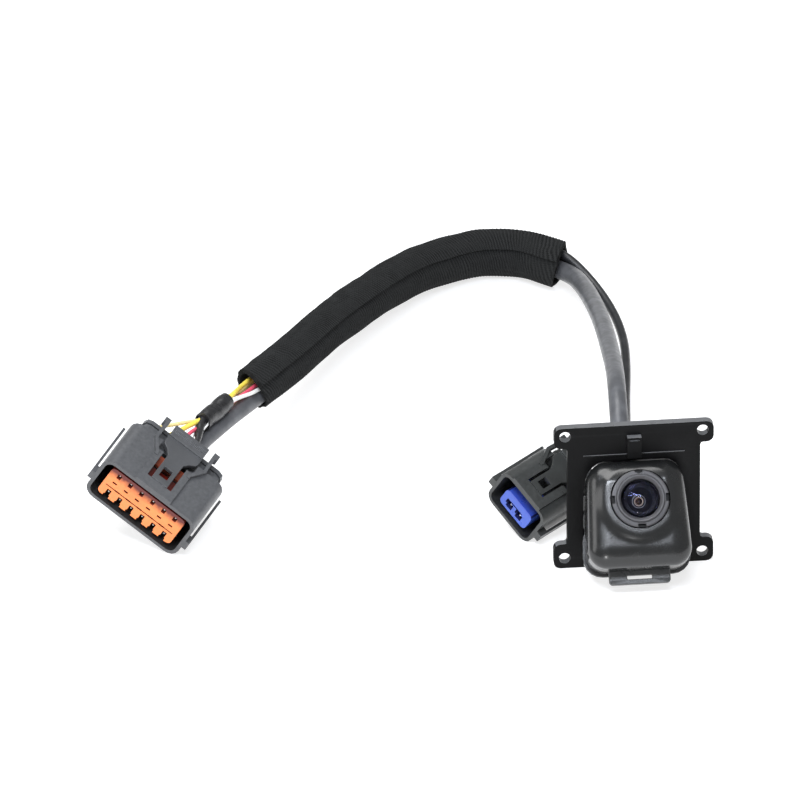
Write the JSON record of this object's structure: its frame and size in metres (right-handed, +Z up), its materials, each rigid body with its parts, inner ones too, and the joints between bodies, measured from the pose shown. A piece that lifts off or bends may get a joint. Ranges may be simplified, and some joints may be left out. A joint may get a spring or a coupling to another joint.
{
  "type": "backup camera kit",
  "caption": "Vehicle backup camera: lens module on a four-eared plate, with a cable in a textile sleeve, a wide sealed connector and a small sealed connector",
  "frame": {"origin": "under the middle of the camera module, on the surface the kit lies on", "axes": "+X to the viewer's right across the plate, +Y from the plate's front to its back, away from the lens side, +Z up"},
  "size_m": [0.2005, 0.2189, 0.0527],
  "materials": {
    "plate_plastic": "fine texture",
    "body_plastic": "satin gloss",
    "bezel_plastic": "satin",
    "coated_glass": "blue-violet coating",
    "inner_plastic": "matt",
    "sensor_ceramic": "plain",
    "circuit_board": "solder mask",
    "screw_steel": "plain",
    "seal_rubber": "matt",
    "orange_rubber": "matt",
    "black_rubber": "matt",
    "cable_jacket": "satin",
    "knitted_textile": "knitted felt",
    "tape": "gloss",
    "yellow_insulation": "plain",
    "pink_insulation": "plain",
    "white_insulation": "plain",
    "cream_insulation": "plain",
    "violet_insulation": "plain",
    "grey_insulation": "plain",
    "brown_insulation": "plain",
    "aux_insulation": "plain",
    "grey_plastic": "satin",
    "dark_plastic": "satin",
    "orange_plastic": "satin",
    "blue_plastic": "satin",
    "tinned_contact": "tinned"
  },
  "bodies": {
    "kit": {"mounting_plate": "plate_plastic", "front_housing": "body_plastic", "rear_housing": "body_plastic", "housing_gasket": "seal_rubber", "lens_seal_ring": "seal_rubber", "lens_bezel": "bezel_plastic", "front_lens": "coated_glass", "inner_lens": "coated_glass", "rear_lens": "coated_glass", "infrared_filter": "coated_glass", "lens_barrel": "inner_plastic", "lens_holder": "inner_plastic", "image_sensor": "sensor_ceramic", "board_connector": "inner_plastic", "sensor_board": "circuit_board", "processor_board": "circuit_board", "board_screw_1": "screw_steel", "board_screw_2": "screw_steel", "cable_grommet": "black_rubber", "camera_cable": "cable_jacket", "aux_cable": "cable_jacket", "textile_sleeve": "knitted_textile", "tape_wrap": "tape", "yellow_wire": "yellow_insulation", "pink_wire": "pink_insulation", "white_wire": "white_insulation", "cream_wire": "cream_insulation", "violet_core": "violet_insulation", "grey_core": "grey_insulation", "brown_core": "brown_insulation", "aux_wire_1": "aux_insulation", "aux_wire_2": "aux_insulation", "main_connector_housing": "grey_plastic", "main_connector_rear_cover": "grey_plastic", "main_connector_perimeter_seal": "orange_rubber", "main_connector_wire_seal": "orange_rubber", "aux_connector_housing": "dark_plastic", "aux_connector_rear_cover": "dark_plastic", "aux_connector_perimeter_seal": "black_rubber", "aux_connector_wire_seal": "black_rubber", "main_terminal_01": "tinned_contact", "main_terminal_02": "tinned_contact", "main_terminal_03": "tinned_contact", "main_terminal_04": "tinned_contact", "main_terminal_05": "tinned_contact", "main_terminal_06": "tinned_contact", "main_terminal_07": "tinned_contact", "main_terminal_08": "tinned_contact", "main_terminal_09": "tinned_contact", "main_terminal_10": "tinned_contact", "main_terminal_11": "tinned_contact", "main_terminal_12": "tinned_contact", "aux_terminal_01": "tinned_contact", "aux_terminal_02": "tinned_contact"},
    "main_latch": {"main_connector_latch": "grey_plastic"},
    "aux_latch": {"aux_connector_latch": "dark_plastic"},
    "main_retainer": {"main_connector_retainer": "orange_plastic"},
    "aux_retainer": {"aux_connector_retainer": "blue_plastic"}
  },
  "joints": [
    {"name": "main_latch_flex", "type": "hinge", "parent": "kit", "child": "main_latch", "pos_m": [-0.15204, 0.02534, 0.02511], "axis": [-0.7597, 0.3873, 0.5223], "range_deg": [0, 4], "stiffness_Nm_per_rad": 0.4},
    {"name": "aux_latch_flex", "type": "hinge", "parent": "kit", "child": "aux_latch", "pos_m": [-0.02995, 0.01959, 0.01865], "axis": [-0.5622, 0.6032, 0.5658], "range_deg": [0, 4], "stiffness_Nm_per_rad": 0.4},
    {"name": "main_retainer_slide", "type": "slide", "parent": "kit", "child": "main_retainer", "axis": [-0.5209, -0.8433, -0.1323], "range_m": [0, 0.0015]},
    {"name": "aux_retainer_slide", "type": "slide", "parent": "kit", "child": "aux_retainer", "axis": [-0.7516, -0.658, -0.0454], "range_m": [0, 0.0015]}
  ]
}
